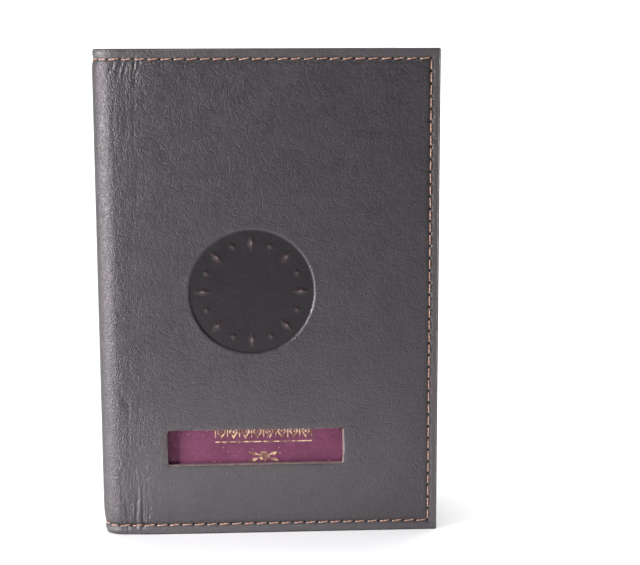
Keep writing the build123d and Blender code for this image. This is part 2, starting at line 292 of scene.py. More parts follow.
def creases(s, z):
    """Depth of the long creases beside the spine and the short ones under the stitches."""
    near = smooth(from_spine(s), 5.5, 8.5) * smooth(from_spine(s), 21, 11)
    drift = 0.9 * noise(s, z, 40, 24, 21)
    first = noise(s + drift, z, 2.3, 17, 22)
    second = noise(s + drift, z, 1.3, 9, 23)
    level = 0.22 + 0.78 * smooth(z, 60, 18) + 0.2 * smooth(z, 100, 130)
    patch = 0.55 + 0.45 * noise(s, z, 9, 22, 24)
    total = near * level * patch * (0.20 * bell(first, 0.16) + 0.10 * bell(second, 0.2))
    top, bottom = HEIGHT - LEVEL_INSET, LEVEL_INSET
    beside_spine, on_the_flat = (MIDDLE - 17, MIDDLE - 8), (FORE_INSET + 4, MIDDLE - 17)
    for mirror in (s, WRAP.length - s):
        total = total + strokes(mirror, z, 31, 13, beside_spine, top - 0.3, -1, 6.5, 0.28, 0.13)
        total = total + strokes(mirror, z, 32, 13, beside_spine, bottom - 1.6, 1, 17.0, -0.03, 0.11)
        total = total + strokes(mirror, z, 33, 16, on_the_flat, top - 0.4, -1, 2.6, 0.2, 0.05)
        total = total + strokes(mirror, z, 34, 16, on_the_flat, bottom + 0.4, 1, 2.6, 0.1, 0.05)
    return total


def crease_share(s, z):
    """How strongly fine wrinkles show: most beside the spine and low down, a little everywhere."""
    beside = smooth(from_spine(s), 4.5, 8.0) * smooth(from_spine(s), 26, 11)
    level = 0.35 + 0.65 * smooth(z, 60, 15) + 0.25 * smooth(z, 112, 132)
    return np.maximum(beside * level, 0.10) * smooth(-seam_distance(s, z), 1.0, -0.3)


def margin_highlight_share(s, z):
    """1 on the flat margin outside the stitches, which the leather's material lightens there as a painted
    highlight.
    """
    return smooth(-seam_distance(s, z), 0.3, 1.2)


def turn_share(s, z):
    """1 where the leather turns round the spine, where it is drier from being bent."""
    return smooth(from_spine(s), 13, 6)


def seam_press(s, z, back, depth=0.24):
    """The valley that the stitches pull the leather into, with a needle hole at each end of a stitch."""
    d = seam_distance(s, z)
    valley = depth * bell(d, 0.7) + 0.10 * smooth(-d, -0.3, 1.0)
    return valley + hole_pits(s, z, back)


def mark_shape(s, z):
    """Height, from 0 to 1, of the ridged lozenges and round pips pressed proud in the disc."""
    right, up = DISC_S - s, z - DISC_Z
    radius, angle = np.hypot(right, up), np.arctan2(up, right)
    count = 8
    step = 2 * math.pi / count
    from_lozenge = (angle - math.pi / 2 + step / 2) % step - step / 2
    from_pip = (angle - math.pi / 2) % step - step / 2
    ring, half_length, half_width, pip = 14.0, 2.7, 1.15, 0.75
    along = np.abs(radius * np.cos(from_lozenge) - ring) / half_length
    across = np.abs(radius * np.sin(from_lozenge)) / half_width
    lozenge = np.clip(1 - along - across, 0, 1) ** 0.9
    away = np.hypot(radius * np.cos(from_pip) - ring, radius * np.sin(from_pip)) / pip
    dome = np.sqrt(np.clip(1 - away * away, 0, 1)) * 0.7
    return np.maximum(lozenge, dome)


def disc_share(s, z):
    """1 on the floor of the pressed disc, 0 outside it."""
    return smooth(np.hypot(s - DISC_S, z - DISC_Z), DISC_RADIUS + 0.08, DISC_RADIUS - 0.27)


def mark_share(s, z):
    """1 on top of a mark in the disc, 0 away from the marks."""
    return mark_shape(s, z) * disc_share(s, z)


def disc_press(s, z):
    """Depth of the pressed disc, with its marks left standing in it and a faint lip round it."""
    radius = np.hypot(s - DISC_S, z - DISC_Z)
    lip = 0.02 * bell(radius - DISC_RADIUS - 0.7, 0.6)
    bottom = 0.30 + 0.03 * noise(s, z, 4.5, 4.5, 41)
    return disc_share(s, z) * (bottom - 0.28 * mark_shape(s, z)) - lip


def window_roll(s, z):
    """The leather turns down a little at the window's cut edges."""
    out = window_distance(s, z)
    return 0.05 * np.exp(-np.maximum(out, 0) / 0.5) - 0.03 * bell(out - 1.6, 0.9)


def front_face(s, z):
    """Depth of the front leather's outer face."""
    return creases(s, z) + seam_press(s, z, False) + disc_press(s, z) + window_roll(s, z) - sag(s, z)


def back_face(s, z):
    """Depth of the back leather's outer face."""
    return creases(s, z) + seam_press(s, z, True) - sag(s, z)


# ---- meshes
class Sheet:
    """A closed sheet under construction. Each point is (s, z, depth), with its place on the texture map."""

    def __init__(self):
        self.points, self.map, self.faces, self.kinds = [], [], [], []
        self.count = 0

    def add(self, s, z, depth, map_s=None, map_z=None):
        s, z, depth = np.broadcast_arrays(*(np.asarray(value, float) for value in (s, z, depth)))
        map_s = s if map_s is None else map_s
        map_z = z if map_z is None else map_z
        self.points.append(np.stack([s.ravel(), z.ravel(), depth.ravel()], axis=1))
        mapped = [np.broadcast_to(value, s.shape).ravel() for value in (map_s, map_z)]
        self.map.append(np.stack(mapped, axis=1))
        index = np.arange(self.count, self.count + s.size).reshape(s.shape)
        self.count += s.size
        return index

    def quads(self, index, keep=None, kind=0):
        """The faces of a grid of points, or only those that keep marks."""
        a, b, c, d = index[:-1, :-1], index[1:, :-1], index[1:, 1:], index[:-1, 1:]
        found = np.stack([a, b, c, d], axis=-1)
        found = found[keep] if keep is not None else found.reshape(-1, 4)
        self.faces.extend(found.tolist())
        self.kinds.extend([kind] * len(found))

    def ring_quads(self, first, second, kind):
        """A band between two closed rings of as many points."""
        loop = np.stack([np.append(first, first[0]), np.append(second, second[0])])
        self.quads(loop, kind=kind)

    def zip_open(self, first, second, kind):
        """Triangles between two rows of points, each given with its positions along the row."""
        a, at_a = first
        b, at_b = second
        i = j = 0
        while i < len(a) - 1 or j < len(b) - 1:
            if j == len(b) - 1 or (i < len(a) - 1 and at_a[i + 1] <= at_b[j + 1]):
                self.faces.append([a[i], a[i + 1], b[j]])
                i += 1
            else:
                self.faces.append([a[i], b[j + 1], b[j]])
                j += 1
            self.kinds.append(kind)


def rectangle_sides(index, rows, columns):
    """The four sides of a block of a grid, each as (indices, positions), walked round the block."""
    return [
        (index[:, 0], rows),
        (index[-1, :], columns),
        (index[::-1, -1], -rows[::-1]),
        (index[0, ::-1], -columns[::-1]),
    ]


def rim_profile(radius, thickness):
    """(outset, share of the way through) down a rounded edge, from the near face to the far one."""
    steps = 4
    turned = [math.pi / 2 * i / steps for i in range(1, steps + 1)]
    curve = [(radius * math.sin(angle), radius * (1 - math.cos(angle)) / thickness) for angle in turned]
    return curve + [(outset, 1 - share) for outset, share in reversed(curve)] + [(0.0, 1.0)]


# (outset, share of the way through) down the window's cut edge
CUT_EDGE = ((0.05, 0.03), (0.09, 0.10), (0.11, 0.25), (0.12, 0.45), (0.11, 0.65), (0.12, 0.85), (0.08, 1.0))
CUT_ROUGHNESS = 0.10


def cells_kept(s_lines, z_lines, hole):
    """Marks the cells of a grid that lie outside a hole; None where there is no hole."""
    if not hole:
        return None
    mid_s, mid_z = (s_lines[1:] + s_lines[:-1]) / 2, (z_lines[1:] + z_lines[:-1]) / 2
    in_s = (mid_s > hole[0][0]) & (mid_s < hole[0][1])
    in_z = (mid_z > hole[1][0]) & (mid_z < hole[1][1])
    return ~(in_s[:, None] & in_z[None, :])


def within(stops, span):
    """Indices of the stops that lie in a span or on its ends."""
    return np.where((stops >= span[0] - SAME) & (stops <= span[1] + SAME))[0]


def into_hole(at, stops):
    """1 on a hole's low side, -1 on its high side, 0 between them."""
    return np.isclose(at, stops[0]) * 1.0 - np.isclose(at, stops[-1]) * 1.0


def slab(s_lines, z_lines, far_s, far_z, near, far, thickness, edge, hole=None, kinds=(0, 1, 2, 3),
         closed_end=False):
    """A closed sheet between two faces given as depths over (s, z). It runs from the fore edge to the middle
    of the spine, where the other half carries on, or to a free edge where closed_end is set. kinds are the
    material numbers of the near face, the edges, the far face and the hole's edges."""
    sheet = Sheet()
    sign = 1.0 if s_lines[-1] > s_lines[0] else -1.0
    s_in, z_in = s_lines.copy(), z_lines.copy()
    s_in[0] += sign * edge
    z_in[0] += edge
    z_in[-1] -= edge
    if closed_end:
        s_in[-1] -= sign * edge
    s, z = np.meshgrid(s_in, z_in, indexing="ij")
    grid = sheet.add(s, z, near(s, z))
    sheet.quads(grid, cells_kept(s_in, z_in, hole), kinds[0])

    far_s, far_z = far_s.copy(), far_z.copy()
    far_s[0], far_z[0], far_z[-1] = s_in[0], z_in[0], z_in[-1]
    if closed_end:
        far_s[-1] = s_in[-1]
    fs, fz = np.meshgrid(far_s, far_z, indexing="ij")
    far_grid = sheet.add(fs, fz, far(fs, fz))
    sheet.quads(far_grid, cells_kept(far_s, far_z, hole), kinds[2])

    def walk(index, rows, columns):
        """The points round a block of the grid."""
        sides = rectangle_sides(index, rows, columns)
        return np.concatenate([side[0][:-1] for side in sides])

    def wall(loop_s, loop_z, out_s, out_z, start, profile, kind, wobble=0.0):
        """Rings from the near face to the far one; returns the last."""
        ring = start
        for outset, share in profile:
            rough = wobble * noise(loop_s * 3 + loop_z * 5, share * 7, 1.3, 0.9, 51) if 0 < share < 1 else 0.0
            rs, rz = loop_s + out_s * (outset + rough), loop_z + out_z * (outset + rough)
            depth = near(loop_s, loop_z) * (1 - share) + far(loop_s, loop_z) * share
            run = outset + share * thickness
            new = sheet.add(rs, rz, depth, loop_s + out_s * run, loop_z + out_z * run)
            sheet.ring_quads(ring, new, kind)
            ring = new
        return ring

    def zip_sides(ring, index, rows, columns, far_index, far_rows, far_columns):
        """Joins a ring that follows the near grid's block to the far grid's coarser one, side by side."""
        counts = [len(rows) - 1, len(columns) - 1, len(rows) - 1, len(columns) - 1]
        ring = np.append(ring, ring[0])
        at = 0
        near_sides = rectangle_sides(index, rows, columns)
        far_sides = rectangle_sides(far_index, far_rows, far_columns)
        for count, (_, near_at), (far_points, far_at) in zip(counts, near_sides, far_sides):
            direction = 1.0 if near_at[-1] > near_at[0] else -1.0
            part = ring[at:at + count + 1]
            at += count
            sheet.zip_open((part, near_at * direction), (far_points, far_at * direction), kinds[2])

    loop = walk(grid, s_in, z_in)
    loop_s, loop_z = s.ravel()[loop - grid[0, 0]], z.ravel()[loop - grid[0, 0]]
    out_s = np.where(loop_s == s_in[0], -sign, 0.0)
    if closed_end:
        out_s = np.where(loop_s == s_in[-1], sign, out_s)
    out_z = np.where(loop_z == z_in[0], -1.0, np.where(loop_z == z_in[-1], 1.0, 0.0))
    profile = rim_profile(edge, thickness) if edge else [(0.0, 1.0)]
    last = wall(loop_s, loop_z, out_s, out_z, loop, profile, kinds[1])
    zip_sides(last, grid, s_in, z_in, far_grid, far_s, far_z)

    if hole:
        rows, columns = within(s_in, hole[0]), within(z_in, hole[1])
        far_rows, far_columns = within(far_s, hole[0]), within(far_z, hole[1])
        block, far_block = grid[np.ix_(rows, columns)], far_grid[np.ix_(far_rows, far_columns)]
        hole_s, hole_z = s_in[rows], z_in[columns]
        loop = walk(block, hole_s, hole_z)
        loop_s, loop_z = s.ravel()[loop - grid[0, 0]], z.ravel()[loop - grid[0, 0]]
        out_s, out_z = into_hole(loop_s, hole_s), into_hole(loop_z, hole_z)
        last = wall(loop_s, loop_z, out_s, out_z, loop, CUT_EDGE, kinds[3], wobble=CUT_ROUGHNESS)
        zip_sides(last, block, hole_s, hole_z, far_block, far_s[far_rows], far_z[far_columns])
    return sheet


def mesh_object(name, points, faces, materials, kinds=None, map_points=None, values=None, flat=None):
    """A smooth-shaded object from points in millimetres, with its faces all turned outwards."""
    mesh = bpy.data.meshes.new(name)
    mesh.from_pydata((np.asarray(points) * MM).tolist(), [], faces)
    for entry in materials:
        mesh.materials.append(entry)
    if kinds is not None:
        mesh.polygons.foreach_set("material_index", np.asarray(kinds, np.int32))
    if map_points is not None:
        layer = mesh.uv_layers.new(name="UVMap")
        corners = np.zeros(len(mesh.loops), np.int32)
        mesh.loops.foreach_get("vertex_index", corners)
        layer.data.foreach_set("uv", (np.asarray(map_points)[corners] / UV_SPAN).astype(np.float32).ravel())
    for key, value in (values or {}).items():
        mesh.attributes.new(key, "FLOAT", "POINT").data.foreach_set("value", np.asarray(value, np.float32))
    work = bmesh.new()
    work.from_mesh(mesh)
    bmesh.ops.recalc_face_normals(work, faces=work.faces)
    work.to_mesh(mesh)
    work.free()
    if flat is None:
        flat = [False] * len(mesh.polygons)
    mesh.polygons.foreach_set("use_smooth", ~np.asarray(flat))
    thing = bpy.data.objects.new(name, mesh)
    bpy.context.scene.collection.objects.link(thing)
    return thing


def sheet_object(name, sheet, materials, values=None):
    """Wraps a sheet into place. values are functions of (s, z), which the materials read at each point. The
    end wall at the middle of the spine is flat shaded, so that the two halves meet without a dark line."""
    points = np.concatenate(sheet.points)
    made = {key: value(points[:, 0], points[:, 1]) for key, value in (values or {}).items()}
    placed = place(points[:, 0], points[:, 1], points[:, 2])
    at_middle = np.abs(points[:, 0] - MIDDLE) < SAME
    ends = [all(at_middle[corner] for corner in face) for face in sheet.faces]
    mapped = np.concatenate(sheet.map)
    return mesh_object(name, placed, sheet.faces, materials, sheet.kinds, mapped, made, ends)


def rounded(sheet, start, z_range, radius, reach=20.0):
    """Rounds the two corners at a sheet's fore edge by drawing the edge in near them."""
    for block in sheet.points:
        from_level = np.clip(np.minimum(block[:, 1] - z_range[0], z_range[1] - block[:, 1]), 0, radius)
        inset = radius - np.sqrt(radius ** 2 - (radius - from_level) ** 2)
        share = 1 - np.clip(np.abs(block[:, 0] - start) / reach, 0, 1)
        block[:, 0] += math.copysign(1.0, MIDDLE - start) * inset * share
    return sheet


def round_window(sheet, radius=0.8):
    """Rounds the window's corners by drawing its sides in near them."""
    middle = sum(WINDOW_S) / 2
    reach_s, reach_z = 2.4, 1.6
    for block in sheet.points:
        s, z = block[:, 0], block[:, 1]
        inside = np.clip(np.minimum(z - WINDOW_Z[0], WINDOW_Z[1] - z), 0, radius)
        inset = radius - np.sqrt(radius ** 2 - (radius - inside) ** 2)
        beyond = np.maximum(np.maximum(WINDOW_Z[0] - z, z - WINDOW_Z[1]), 0)
        side = np.where(s < middle, WINDOW_S[0], WINDOW_S[1])
        share = (1 - np.clip(np.abs(s - side) / reach_s, 0, 1)) * (1 - np.clip(beyond / reach_z, 0, 1))
        block[:, 0] += np.sign(middle - side) * inset * share
    return sheet


# ---- materials
class Paint:
    """A material under construction."""

    def __init__(self, name, **sockets):
        self.material = bpy.data.materials.new(name)
        self.material.use_nodes = True
        self.nodes = self.material.node_tree.nodes
        self.links = self.material.node_tree.links
        self.shader = self.nodes["Principled BSDF"]
        for socket, value in sockets.items():
            self.shader.inputs[socket.replace("_", " ")].default_value = value
        self.uv = self.node("ShaderNodeTexCoord").outputs["UV"]

    def node(self, kind, inputs=None, **settings):
        made = self.nodes.new(kind)
        for key, value in settings.items():
            setattr(made, key, value)
        for key, value in (inputs or {}).items():
            self.feed(made.inputs[key], value)
        return made

    def feed(self, socket, value):
        if isinstance(value, bpy.types.NodeSocket):
            self.links.new(value, socket)
        else:
            socket.default_value = value

    def stretched(self, along, across):
        """Coordinates in which one unit is the given number of millimetres each way."""
        scale = (UV_SPAN / along, UV_SPAN / across, 1.0)
        return self.node("ShaderNodeMapping", {"Vector": self.uv, "Scale": scale}).outputs["Vector"]

    def cells(self, size, feature="DISTANCE_TO_EDGE"):
        inputs = {"Vector": self.uv, "Scale": UV_SPAN / size}
        return self.node("ShaderNodeTexVoronoi", inputs, feature=feature).outputs["Distance"]

    def cloud(self, size, detail=3.0, roughness=0.55):
        inputs = {"Vector": self.uv, "Scale": UV_SPAN / size, "Detail": detail, "Roughness": roughness}
        return self.node("ShaderNodeTexNoise", inputs).outputs["Fac"]

    def streaks(self, vector, detail, roughness):
        inputs = {"Vector": vector, "Scale": 1.0, "Detail": detail, "Roughness": roughness}
        return self.node("ShaderNodeTexNoise", inputs).outputs["Fac"]

    def ramp(self, value, low, high, to_low=0.0, to_high=1.0):
        inputs = {"Value": value, "From Min": low, "From Max": high, "To Min": to_low, "To Max": to_high}
        return self.node("ShaderNodeMapRange", inputs, interpolation_type="SMOOTHSTEP").outputs["Result"]

    def math(self, operation, first, second=0.0):
        made = self.node("ShaderNodeMath", {0: first, 1: second}, operation=operation)
        return made.outputs["Value"]

    def plus(self, *values):
        total = values[0]
        for value in values[1:]:
            total = self.math("ADD", total, value)
        return total

    def times(self, first, second):
        return self.math("MULTIPLY", first, second)

    def value(self, name):
        """A number that the mesh stores at each point."""
        return self.node("ShaderNodeAttribute", attribute_name=name).outputs["Fac"]

    def mix(self, share, first, second):
        factor, color_a, color_b, color_out = 0, 6, 7, 2
        made = self.node("ShaderNodeMix", data_type="RGBA")
        for number, value in ((factor, share), (color_a, first), (color_b, second)):
            self.feed(made.inputs[number], value)
        return made.outputs[color_out]

    def bump(self, height, distance):
        inputs = {"Height": height, "Distance": distance * MM, "Strength": 1.0}
        return self.node("ShaderNodeBump", inputs).outputs["Normal"]

    def finish(self, color=None, roughness=None, normal=None):
        for socket, value in (("Base Color", color), ("Roughness", roughness), ("Normal", normal)):
            if value is not None:
                self.links.new(value, self.shader.inputs[socket])
        return self.material


def rgb(red, green, blue):
    return (red, green, blue, 1.0)


def leather_wrinkles(paint):
    """Two crossing sets of fine folds, as deep as the mesh's crease value says."""
    sets = []
    for tilt, width in ((0.10, 0.030), (-0.22, 0.045)):
        scale = (UV_SPAN / 1.7, UV_SPAN / 9.0, 1.0)
        inputs = {"Vector": paint.uv, "Rotation": (0.0, 0.0, tilt), "Scale": scale}
        turned = paint.node("ShaderNodeMapping", inputs).outputs["Vector"]
        fold = paint.streaks(turned, 2.0, 0.6)
        line = paint.ramp(paint.math("ABSOLUTE", paint.math("SUBTRACT", fold, 0.5)), 0.0, width)
        depth = paint.times(paint.math("SUBTRACT", line, 1.0), paint.value("crease"))
        sets.append(paint.times(depth, 0.5))
    return sets


def grained_leather(name, dark, light, sheen, grain=0.072, detailed=True):
    """Small pebbled grain, and a gloss that varies from place to place. Where detailed is set, the mesh says
    where the leather is pressed, marked, creased, bent or pierced, and where its margin is. The tops of the
    marks and the margin are lightened as painted highlights, and the needle holes darkened as painted shade."""
    paint = Paint(name, Specular_IOR_Level=sheen, Specular_Tint=rgb(1.0, 0.95, 0.985))
    pebble = paint.ramp(paint.cells(0.62), 0.0, 0.34)
    small = paint.ramp(paint.cells(0.33), 0.0, 0.3)
    crinkle = paint.ramp(paint.cells(2.3), 0.0, 0.16)
    height = paint.plus(paint.times(pebble, 0.5), paint.times(small, 0.3), paint.times(crinkle, 0.35),
                        paint.times(paint.cloud(0.22, 4.0), 0.4), paint.times(paint.cloud(2.6), 0.8))
    mottle = paint.ramp(paint.cloud(9.0, 5.0), 0.3, 0.7)
    rough = paint.ramp(paint.cloud(3.1, 4.0), 0.3, 0.7, 0.36, 0.45)
    color = paint.mix(mottle, dark, light)
    color = paint.mix(paint.times(pebble, 0.35), color, light)
    if detailed:
        pressed, mark, pit, turn = (paint.value(name) for name in ("pressed", "mark", "pit", "turn"))
        height = paint.plus(height, *leather_wrinkles(paint))
        height = paint.times(height, paint.ramp(pressed, 0, 1, 1.0, 0.45))
        height = paint.times(height, paint.ramp(turn, 0, 1, 1.0, 1.5))
        color = paint.mix(paint.times(pressed, 0.55), color, rgb(0.004, 0.004, 0.005))
        color = paint.mix(paint.ramp(mark, 0.0, 0.25, 0.0, 0.7), color, rgb(0.022, 0.012, 0.014))
        # Painted highlight: the tops of the marks' ridges are lightened where light would catch them.
        color = paint.mix(paint.ramp(mark, 0.5, 0.95, 0.0, 0.8), color, rgb(0.12, 0.10, 0.10))
        # Painted highlight: the flat margin outside the stitches is lightened.
        color = paint.mix(paint.value("margin"), color, rgb(0.030, 0.027, 0.029))
        # Painted shade: the needle holes are darkened, and below their gloss is turned down too.
        color = paint.mix(paint.ramp(pit, 0.05, 0.25), color, rgb(0.004, 0.003, 0.003))
        rough = paint.math("SUBTRACT", rough, paint.times(pressed, 0.04))
        rough = paint.plus(rough, paint.times(turn, 0.07))
        dull = paint.ramp(pit, 0.02, 0.2, 1.0, 0.1)
        shine = paint.times(paint.ramp(pressed, 0.0, 1.0, sheen, 0.5 * sheen), dull)
        paint.feed(paint.shader.inputs["Specular IOR Level"], shine)
    return paint.finish(color, rough, paint.bump(height, grain))


def fibrous(name, dark, light, rough, cell=0.25, lift=0.08, stretch=1.0):
    """Fibres: raw leather, suede, thread."""
    paint = Paint(name, Roughness=rough)
    strand = paint.streaks(paint.stretched(cell * stretch, cell), 5.0, 0.65)
    patch = paint.cloud(cell * 14, 3.0)
    share = paint.plus(paint.ramp(strand, 0.3, 0.7, 0.0, 0.7), paint.ramp(patch, 0.35, 0.65, 0.0, 0.3))
    return paint.finish(paint.mix(share, dark, light), None, paint.bump(strand, lift))


def woven(name, dark, light, rough, thread=0.34, lift=0.05):
    """A fine plain weave."""
    paint = Paint(name, Roughness=rough, Sheen_Weight=0.25, Sheen_Roughness=0.5)
    inputs = {"Vector": paint.uv, "Scale": UV_SPAN / thread / 6.283, "Distortion": 1.2, "Detail": 2.0,
              "Detail Scale": 3.0}
    waves = [paint.node("ShaderNodeTexWave", inputs, bands_direction=direction) for direction in ("X", "Y")]
    height = paint.math("MAXIMUM", waves[0].outputs["Fac"], waves[1].outputs["Fac"])
    patch = paint.ramp(paint.cloud(5.0, 4.0), 0.3, 0.7, 0.0, 0.5)
    share = paint.plus(paint.times(height, 0.5), patch)
    return paint.finish(paint.mix(share, dark, light), None, paint.bump(height, lift))


def booklet_cloth(name):
    """Burgundy leatherette with a fine grain, a few pale specks and faint scratches."""
    paint = Paint(name, Specular_IOR_Level=0.34)
    grain = paint.ramp(paint.cells(0.34), 0.0, 0.35)
    height = paint.plus(grain, paint.times(paint.cloud(0.9, 4.0), 0.8))
    mottle = paint.ramp(paint.cloud(6.0, 5.0), 0.3, 0.7)
    color = paint.mix(mottle, rgb(0.080, 0.011, 0.038), rgb(0.112, 0.019, 0.058))
    speck = paint.ramp(paint.cells(1.7, "F1"), 0.13, 0.05)
    scratch = paint.ramp(paint.streaks(paint.stretched(9.0, 0.35), 2.0, 0.5), 0.74, 0.80, 0.0, 0.35)
    wear = paint.math("MAXIMUM", paint.times(speck, 0.6), scratch)
    color = paint.mix(wear, color, rgb(0.42, 0.26, 0.30))
    rough = paint.ramp(paint.cloud(2.0, 4.0), 0.3, 0.7, 0.42, 0.58)
    return paint.finish(color, rough, paint.bump(height, 0.08))


def paper(name):
    """Matt paper with a faint tinted ground of fine wandering lines."""
    paint = Paint(name, Roughness=0.75)
    fibre = paint.cloud(0.4, 4.0)
    tone = paint.ramp(paint.cloud(24.0, 3.0), 0.3, 0.7)
    color = paint.mix(tone, rgb(0.60, 0.575, 0.51), rgb(0.64, 0.62, 0.56))
    drift = paint.cloud(30.0, 1.0)
    fine = paint.math("SINE", paint.times(drift, 260.0))
    line = paint.ramp(paint.math("ABSOLUTE", fine), 0.45, 0.05, 0.0, 0.30)
    color = paint.mix(line, color, rgb(0.46, 0.50, 0.50))
    return paint.finish(color, None, paint.bump(fibre, 0.012))


def worn_foil(name):
    """Stamped gold foil. The frame's own meshes have no texture map, so this one uses their place."""
    paint = Paint(name, Metallic=1.0)
    where = paint.node("ShaderNodeTexCoord").outputs["Object"]
    wear = paint.node("ShaderNodeTexNoise", {"Vector": where, "Scale": 900.0, "Detail": 4.0}).outputs["Fac"]
    share = paint.ramp(wear, 0.42, 0.60)
    color = paint.mix(share, rgb(0.18, 0.10, 0.075), rgb(0.54, 0.39, 0.25))
    return paint.finish(color, paint.ramp(wear, 0.3, 0.7, 0.62, 0.45))


LEATHER_FACE = grained_leather("leather_face", rgb(0.0080, 0.0060, 0.0075), rgb(0.0140, 0.0110, 0.0130), 0.8)
LEATHER_EDGE = fibrous("leather_edge", rgb(0.018, 0.014, 0.016), rgb(0.045, 0.036, 0.040), 0.5, 0.3, 0.05)
LEATHER_RAW = fibrous("leather_raw", rgb(0.10, 0.060, 0.055), rgb(0.32, 0.22, 0.20), 0.85, 0.18, 0.10)
LEATHER_BACK = fibrous("leather_back", rgb(0.10, 0.060, 0.050), rgb(0.20, 0.13, 0.11), 0.9, 0.3, 0.08)
POCKET_FACE = grained_leather("pocket_face", rgb(0.012, 0.009, 0.011), rgb(0.021, 0.017, 0.020), 0.7,
                              detailed=False)
LINING_WEAVE = woven("lining_weave", rgb(0.018, 0.014, 0.018), rgb(0.042, 0.033, 0.040), 0.8)
THREAD = fibrous("waxed_thread", rgb(0.15, 0.07, 0.05), rgb(0.50, 0.30, 0.215), 0.33, 0.10, 0.04, 6.0)
BOOKLET = booklet_cloth("booklet_cloth")
PAPER = paper("page_paper")
SEWING = fibrous("sewing_thread", rgb(0.62, 0.60, 0.55), rgb(0.80, 0.78, 0.72), 0.7, 0.10, 0.02, 5.0)
FOIL = worn_foil("gold_foil")

# ---- cover leather and its lining
def half_lines(stops, back):
    """The same lines on either half, from its fore edge to the middle of the spine."""
    found = lines(*stops)
    return WRAP.length - found if back else found


def bend(thing, back, depth=LINING_FACE):
    """Bakes a piece's placement into its mesh. The ends of the stretch where a layer at that depth bends are
    worked out, but nothing is blended.
    """
    start, end = fold_ends(depth, back)
    if back:
        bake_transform(thing)
    else:
        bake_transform(thing)


def leather_inside(s, z):
    """Depth of the leather's inner face, where it meets the lining."""
    return LEATHER - 0.8 * sag(s, z)


def lining_inside(s, z):
    """Depth of the lining's open face, drawn in a little under the inner stitches."""
    seam = 0.12 * bell(seam_distance(s, z), 0.8)
    return LINING_FACE - 0.5 * sag(s, z) - seam


# Lines of the coarser grids on the hidden faces, and of the fine ones on the faces that show
FAR_S = (0.0, (WINDOW_S[0], 2.5), (WINDOW_S[1], 2.5), (90.0, 2.0), (MIDDLE, 0.6))
FAR_Z = (0.0, (WINDOW_Z[0], 2.5), (WINDOW_Z[1], 2.6), (HEIGHT - 6, 3.0), (HEIGHT, 1.0))
BACK_S = (0.0, (5.2, 0.24), (78.0, 0.8), (MIDDLE, 0.27))
BACK_Z = (0.0, (5.4, 0.22), (60.0, 0.45), (132.0, 0.8), (HEIGHT, 0.22))
FRONT_S = (0.0, (5.2, 0.26), (WINDOW_S[0], 0.6), (34.8, 0.5), (72.2, 0.335), (WINDOW_S[1], 0.5),
           (MIDDLE, 0.29))
FRONT_Z = (0.0, (5.4, 0.24), (WINDOW_Z[0], 0.5), (WINDOW_Z[0] + 0.9, 0.15), (WINDOW_Z[1] - 0.9, 0.9),
           (WINDOW_Z[1], 0.15), (52.8, 0.5), (90.2, 0.34), (132.0, 0.65), (HEIGHT, 0.24))


def build_cover(half, back):
    """The cover's leather: its outer face in full relief, and on the front the window."""
    face, s_stops, z_stops, hole = front_face, FRONT_S, FRONT_Z, WINDOW
    pressed, mark = disc_share, mark_share
    if back:
        face, s_stops, z_stops, hole = back_face, BACK_S, BACK_Z, None
        pressed = mark = lambda s, z: np.zeros_like(s)
    s_lines, z_lines = half_lines(s_stops, back), lines(*z_stops)
    far_s, far_z = half_lines(FAR_S, back), lines(*FAR_Z)
    sheet = slab(s_lines, z_lines, far_s, far_z, face, leather_inside, LEATHER, RIM, hole)
    rounded(sheet, s_lines[0], (0.0, HEIGHT), CUT_CORNER, CORNER_REACH)
    if not back:
        round_window(sheet)
    # The leather's material lightens the margin and the tops of the marks as painted highlights, and darkens
    # the needle holes (pit) as painted shade.
    values = {"margin": margin_highlight_share, "crease": crease_share, "turn": turn_share, "pressed": pressed,
              "mark": mark, "pit": lambda s, z: hole_pits(s, z, back)}
    materials = [LEATHER_FACE, LEATHER_EDGE, LEATHER_BACK, LEATHER_RAW]
    cover = sheet_object("cover_leather_" + half, sheet, materials, values)
    bend(cover, back)
    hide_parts(*(["back_cover"] if back else ["front_cover", "spine_cover"]))


def build_lining(half, back):
    """The lining glued inside the leather, a little short of its edges."""
    inset, rim = 0.3, 0.12
    s_stops = (inset, (5.2, 0.35), (WINDOW_S[0], 1.2), (WINDOW_S[1], 1.2), (90.0, 0.8), (MIDDLE, 0.4))
    z_stops = (inset, (5.4, 0.35), (WINDOW_Z[0], 1.0), (WINDOW_Z[0] + 0.9, 0.18), (WINDOW_Z[1] - 0.9, 1.0),
               (WINDOW_Z[1], 0.18), (134.0, 1.2), (HEIGHT - inset, 0.35))
    far_s = (inset,) + FAR_S[1:]
    far_z = (inset,) + FAR_Z[1:-1] + ((HEIGHT - inset, 1.0),)
    hole = None if back else WINDOW
    s_lines, z_lines = half_lines(s_stops, back), lines(*z_stops)
    far_lines = half_lines(far_s, back), lines(*far_z)
    sheet = slab(s_lines, z_lines, *far_lines, lining_inside, leather_inside, LINING, rim, hole, (0, 0, 0, 0))
    rounded(sheet, s_lines[0], (inset, HEIGHT - inset), CUT_CORNER, CORNER_REACH)
    if not back:
        round_window(sheet)
    lining = sheet_object("lining_" + half, sheet, [LINING_WEAVE])
    bend(lining, back)
    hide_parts(*(["back_lining"] if back else ["front_lining", "spine_lining"]))


# ---- pocket flaps
def pocket_room(s, z):
    """Space between the lining and the flap, for the booklet's cover: none at the seam, a little slack at the
    mouth."""
    risen = smooth(seam_distance(s, z), 0.05, 1.35)
    mouth = smooth(from_fore_edge(s), FLAP_EDGE - 16, FLAP_EDGE)
    slack = 0.10 * mouth * np.sin(math.pi * np.clip(z / HEIGHT, 0, 1)) * noise(s, z, 50, 28, 61)
    return risen * (1.0 + slack)


def flap_outside(s, z):
    """Depth of the flap's face towards the lining."""
    return LINING_FACE - 0.5 * sag(s, z) * (1 - smooth(seam_distance(s, z), 0, 4)) + pocket_room(s, z)


def flap_inside(s, z):
    """Depth of the flap's open face."""
    return flap_outside(s, z) + FLAP - 0.16 * bell(seam_distance(s, z), 0.8)


